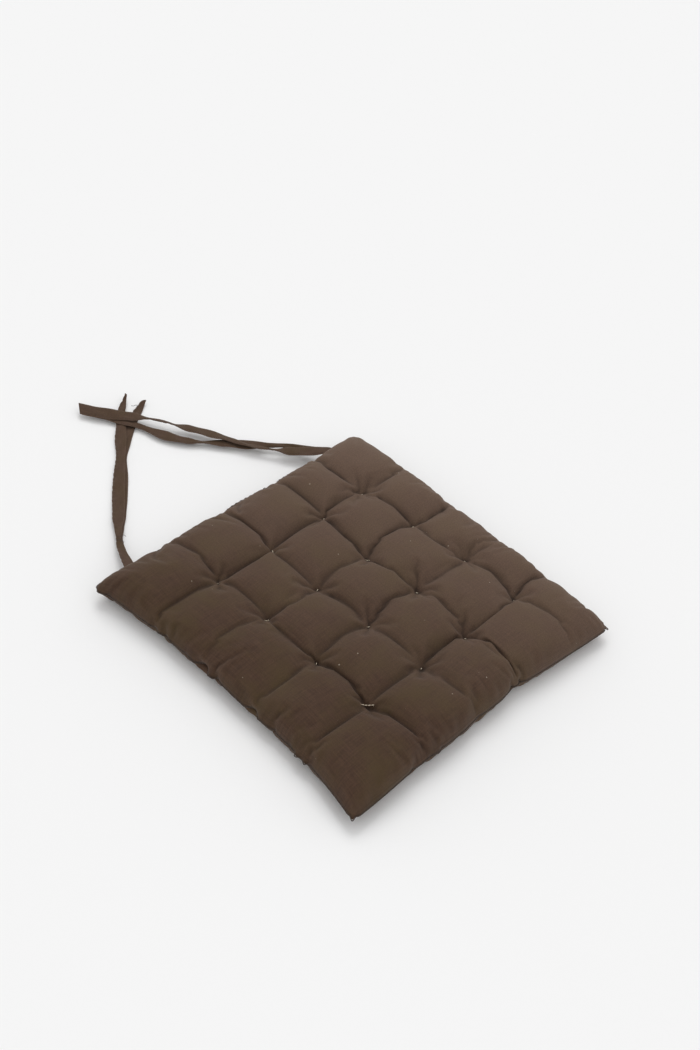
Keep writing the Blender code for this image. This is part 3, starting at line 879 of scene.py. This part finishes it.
def bulges(mesh, reach):  # how far each vertex stands out from the cloth round it, in metres
    co = readRows(mesh.vertices, "co", 3)
    normal = readRows(mesh.vertices, "normal", 3)
    a, b = readRows(mesh.edges, "vertices", 2, int).T
    degree = np.bincount(a, minlength=len(co)) + np.bincount(b, minlength=len(co))
    mean = co.copy()
    for _ in range(reach):
        total = np.zeros_like(co)
        np.add.at(total, a, mean[b])
        np.add.at(total, b, mean[a])
        mean = total / np.maximum(degree, 1)[:, None]
    return ((co - mean) * normal).sum(axis=1)


def panel(name, numbers, places, flip, node):
    side = len(numbers)
    faces = gridFaces(np.arange(side * side).reshape(side, side), flip).tolist()
    cut = np.dstack(flatPlaces(cushion["cells"])).reshape(-1, 2) * padHalf + 0.5
    shape = Shape()
    shape.add(places[numbers.ravel()], faces, cut)
    piece = shape.piece(name, [coverCloth])
    smooth = piece.modifiers.new("fine", "SUBSURF")
    smooth.levels = 1
    smooth.render_levels = 1
    piece = applied(piece)
    bulge = bulges(piece.data, 5) / (cushion["fullBulge"] * mm)
    # fold mask: painted shade, darkest in the sharpest creases
    mark(piece, "fold", np.clip(-bulge - 0.1, 0, 1))
    # crest mask: paler on the sharpest crests, partly wear and partly painted highlight
    mark(piece, "rubAndHighlight", np.clip(bulge, 0, 1) ** 1.5)
    thick = piece.modifiers.new("cloth", "SOLIDIFY")
    thick.thickness = cushion["cloth"] * mm
    thick.offset = -1
    piece = applied(piece)
    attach(piece, "pad")
    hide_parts(node)
    return piece


def applied(piece):  # the piece with its modifiers made real
    mesh = bpy.data.meshes.new_from_object(piece.evaluated_get(bpy.context.evaluated_depsgraph_get()))
    old = piece.data
    piece.modifiers.clear()
    piece.data = mesh
    mesh.name = piece.name
    bpy.data.meshes.remove(old)
    return piece


swollen, topNumbers, bottomNumbers = swell()
pillow = pressFlat(swollen)
coverTop = panel("coverTop", topNumbers, pillow, False, "cover_top")
coverBottom = panel("coverBottom", bottomNumbers, pillow, True, "cover_bottom")


def rimLine():  # the rim's places in order, from the back edge's middle round to the right
    loop = [*topNumbers[-1], *topNumbers[-2::-1, -1], *topNumbers[0, -2::-1], *topNumbers[1:-1, 0]]
    return [Vector(pillow[int(k)]) for k in loop]


def spreadLowest(z, cells):  # each place takes the lowest height near it
    found = z.copy()
    for _ in range(cells):
        padded = np.pad(found, 1, mode="edge")
        parts = [padded[r:r + z.shape[0], c:c + z.shape[1]] for r in range(3) for c in range(3)]
        found = np.min(parts, axis=0)
    return found


def makeFilling():
    top = pillow[topNumbers].copy()
    low = pillow[bottomNumbers].copy()
    middle = (top + low) / 2
    inset = cushion["fillInset"] * mm
    above = spreadLowest(top[..., 2], 3) - inset
    below = -spreadLowest(-low[..., 2], 3) + inset
    height = (above + below) / 2
    gap = np.maximum((above - below) / 2, 0.4 * mm)
    keep = (slice(4, -4, 2), slice(4, -4, 2))
    top, low = [np.dstack([middle[..., :2], height + way * gap])[keep] for way in (1, -1)]
    shape = Shape()
    side = top.shape[0]
    numbers = np.arange(side * side).reshape(side, side)
    under = side * side  # from a place's number above to its number below
    faces = gridFaces(numbers, False).tolist() + gridFaces(numbers + under, True).tolist()
    for rim in (numbers[0], numbers[-1, ::-1], numbers[::-1, 0], numbers[:, -1]):
        for a, b in zip(rim.tolist(), rim[1:].tolist()):
            faces.append((a, a + under, b + under, b))
    verts = np.concatenate([top.reshape(-1, 3), low.reshape(-1, 3)])
    shape.add(verts, faces, verts[:, :2])
    piece = shape.piece("waddingFill", [waddingFibre])
    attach(piece, "pad")
    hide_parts("filling")


makeFilling()

print("stage 4: seams and stitches")

seams = {
    "radius": 0.62,  # mm
    "stitch": 3.0,
    "outside": 0.25,  # mm that the thread stands out of the join
    "rootGap": 1.0,  # mm between a seam's end and a tie
    "slipPitch": 7.0,
    "slipRadius": 0.3,
}


def rimStretches():  # the machine seam's line and the hand-closed stretch between the ties
    loop = rimLine()
    leftLow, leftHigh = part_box("tie_root_left")
    rightLow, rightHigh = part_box("tie_root_right")
    gap = seams["rootGap"] * mm
    backCount = cushion["cells"] + 1
    back = loop[:backCount]
    closing = [p for p in back if leftHigh.x + gap < p.x < rightLow.x - gap]
    first = [p for p in back if p.x >= rightHigh.x + gap]
    last = [p for p in back if p.x <= leftLow.x - gap]
    return first + loop[backCount:] + last, closing


def outward(point):
    if abs(point.x) > abs(point.y):
        return Vector((math.copysign(1, point.x), 0, 0))
    return Vector((0, math.copysign(1, point.y), 0))


def makeMachineSeam(points):
    shape = Shape()
    line = smoothLine(points, seams["stitch"] / 6 * mm)[0]
    line = [p + outward(p) * seams["outside"] * mm for p in line]
    sizes = [0.72 + 0.28 * abs(math.sin(math.pi * i / 6)) for i in range(len(line))]  # six rings a stitch
    addThread(shape, line, seams["radius"] * mm, around=8, sizes=sizes)
    piece = shape.piece("edgeSeam", [seamThread])
    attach(piece, "pad")
    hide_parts("edge_seam")


def makeClosingSeam(points):
    shape = Shape()
    line = smoothLine(points, 0.5 * mm)[0]
    base = [p + outward(p) * 0.05 * mm for p in line]
    addThread(shape, base, seams["slipRadius"] * mm, around=7)
    pitch = round(seams["slipPitch"] / 0.5)
    for k in range(pitch, len(line) - pitch, pitch):
        low, high = line[k - 3], line[k + 3]
        middle = (low + high) / 2
        dots = [low + Vector((0, -0.7 * mm, -1.6 * mm)), middle + Vector((0, 0.35 * mm, -0.5 * mm)),
                middle + Vector((0, 0.35 * mm, 0.5 * mm)), high + Vector((0, -0.7 * mm, 1.6 * mm))]
        addThread(shape, smoothLine(dots, 0.6 * mm)[0], seams["slipRadius"] * mm, around=7)
    piece = shape.piece("closingSeam", [seamThread])
    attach(piece, "pad")
    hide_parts("closing_seam")


machineLine, closingLine = rimStretches()
makeMachineSeam(machineLine)
makeClosingSeam(closingLine)

# Tuft stitches: the bar of thread that shows on top, its length in mm and its heading in degrees.
tufts = {
    "radius": 0.55,  # mm
    "knot": 1.3,
    "knotRings": 28,
    "slack": 6.0,  # mm, a bar longer than this wasn't pulled down
    "bars": {(1, 1): (1.6, 20), (1, 2): (3, 60), (1, 3): (1.6, 0), (1, 4): (1.4, 130),
             (2, 1): (5, -35), (2, 2): (2, 10), (2, 3): (4.5, -60), (2, 4): (1.6, 150),
             (3, 1): (2.5, 30), (3, 2): (3.5, -20), (3, 3): (1.8, 110), (3, 4): (1.4, 60),
             (4, 1): (13, -42), (4, 2): (1.8, 20), (4, 3): (1.6, 95), (4, 4): (1.4, 45)},
    "standoff": 0.5,  # mm that a bar arches off the cloth
}

coverTrees = {}
for cover in (coverTop, coverBottom):
    corners = readRows(cover.data.vertices, "co", 3).tolist()
    polygons = [tuple(polygon.vertices) for polygon in cover.data.polygons]
    coverTrees[cover.name] = BVHTree.FromPolygons(corners, polygons)


def onCover(point, above):  # the place on the top cover, or on the bottom one, over or under a point
    tree = coverTrees["coverTop" if above else "coverBottom"]
    way = -1 if above else 1
    hit = tree.ray_cast(Vector((point.x, point.y, -0.2 * way)), Vector((0, 0, way)))[0]
    return hit or point


def makeTuft(row, column):
    cell = nearestCell(tuftPlace(row, column))
    top = Vector(pillow[int(topNumbers[cell])])
    low = onCover(Vector(pillow[int(bottomNumbers[cell])]), False)
    long, heading = tufts["bars"][(row, column)]
    ahead = direction(heading, 0)
    thread = tufts["radius"] * mm
    shape = Shape()
    half = ahead * long / 2 * mm
    ends = [onCover(top - half, True), onCover(top + half, True)]
    drop = Vector((0, 0, -2 * mm))
    bar = [ends[0] + drop]
    for part in (-1, -0.5, 0, 0.5, 1):
        spot = onCover(top + half * part, True)
        if long > tufts["slack"]:  # a slack bar bridges the dimple and sags a little
            sag = 0.08 * long * mm * (1 - part**2)
            spot.z = max(spot.z, (ends[0].z + ends[1].z) / 2 - sag)
        spot.z += tufts["standoff"] * mm * (1 - part**4) + thread * 0.4
        bar.append(spot)
    bar.append(ends[1] + drop)
    addThread(shape, smoothLine(bar, 0.5 * mm)[0], thread)
    down = top - Vector((0, 0, 1 * mm))
    addThread(shape, [down + (low - down) * 0.05 * k for k in range(21)], thread)
    knot = []
    for k in range(tufts["knotRings"]):
        turn = 2 * math.pi * k / tufts["knotRings"] * 2  # twice round
        size = tufts["knot"] * mm * (0.62 + 0.3 * math.cos(1.5 * turn))
        knot.append(low + Vector((size * math.cos(turn), size * math.sin(turn),
                                  -0.2 * mm + 0.45 * mm * math.sin(1.5 * turn))))
    addThread(shape, knot, thread * 0.9)
    side = Vector((-ahead.y, ahead.x, 0))
    for way in (-1, 1):
        tail = [low, low + side * way * 2.5 * mm + Vector((0, 0, 0.3 * mm)),
                low + (side * way * 5 + ahead * 2) * mm + Vector((0, 0, -0.4 * mm))]
        addThread(shape, smoothLine(tail, 0.8 * mm)[0], thread * 0.8)
    piece = shape.piece(f"tuftStitch_{row}_{column}", [tuftThread])
    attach(piece, "pad")
    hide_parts(f"tuft_stitch_{row}_{column}")


for row, column in tuftCells:
    makeTuft(row, column)

# The middle of each tie strip, folded and caught between the panels.
tieTucks = {"width": 11.0, "thickness": 2.6, "inside": 8.0, "outside": 1.5, "folds": 3}


def makeTieTuck(name, node):
    low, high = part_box(node)
    middle = Vector(((low.x + high.x) / 2, high.y, seamHeight))
    shape = Shape()
    around, rings = 32, 12
    verts, cloth = [], []
    for r in range(rings):
        t = r / (rings - 1)
        y = -tieTucks["inside"] * (1 - t) + tieTucks["outside"] * t
        for k in range(around):
            turn = 2 * math.pi * k / around
            fold = 1 + 0.18 * math.sin(turn * 2 * tieTucks["folds"])
            x = tieTucks["width"] / 2 * math.cos(turn) * (0.95 + 0.05 * t)
            z = tieTucks["thickness"] / 2 * math.sin(turn) * fold
            verts.append(middle + Vector((x, y, z)) * mm)
            cloth.append((x * mm, (y + 3 * turn) * mm))
    shape.add(verts, ringFaces(rings, around), cloth)
    piece = shape.piece(name, [tieCloth])
    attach(piece, "pad")
    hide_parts(node)


makeTieTuck("tieTuckLeft", "tie_root_left")
makeTieTuck("tieTuckRight", "tie_root_right")

print("stage 5: floor and light")

studio = {
    "floorSize": 40.0,  # metres
    "floorCells": 8,
    "world": "#ffffff",
    "worldStrength": 0.78,
    "keyStrength": 0.95,
    "keyAngle": 32.0,  # degrees across, so that shadows are soft
    "keyElevation": 52.0,
    "keyAzimuth": 46.0,
}


def makeStudio():
    half = studio["floorSize"] / 2
    side = studio["floorCells"] + 1
    verts = np.dstack(flatPlaces(side - 1) + [np.zeros((side, side))]).reshape(-1, 3) * half
    shape = Shape()
    shape.add(verts, gridFaces(np.arange(side**2).reshape(side, side), False).tolist(), verts[:, :2])
    floor = shape.piece("floor", [floorPaper])
    world = bpy.data.worlds.new("studio")
    scene.world = world
    world.use_nodes = True
    background = world.node_tree.nodes["Background"]
    background.inputs["Color"].default_value = toLinear(studio["world"])
    background.inputs["Strength"].default_value = studio["worldStrength"]
    data = bpy.data.lights.new("softKey", "SUN")
    data.energy = studio["keyStrength"]
    data.angle = math.radians(studio["keyAngle"])
    key = addObject("softKey", data)
    towards = direction(studio["keyAzimuth"], studio["keyElevation"])
    key.rotation_mode = "QUATERNION"
    key.rotation_quaternion = towards.to_track_quat("Z", "Y")
    scene.view_settings.view_transform = "Standard"


makeStudio()
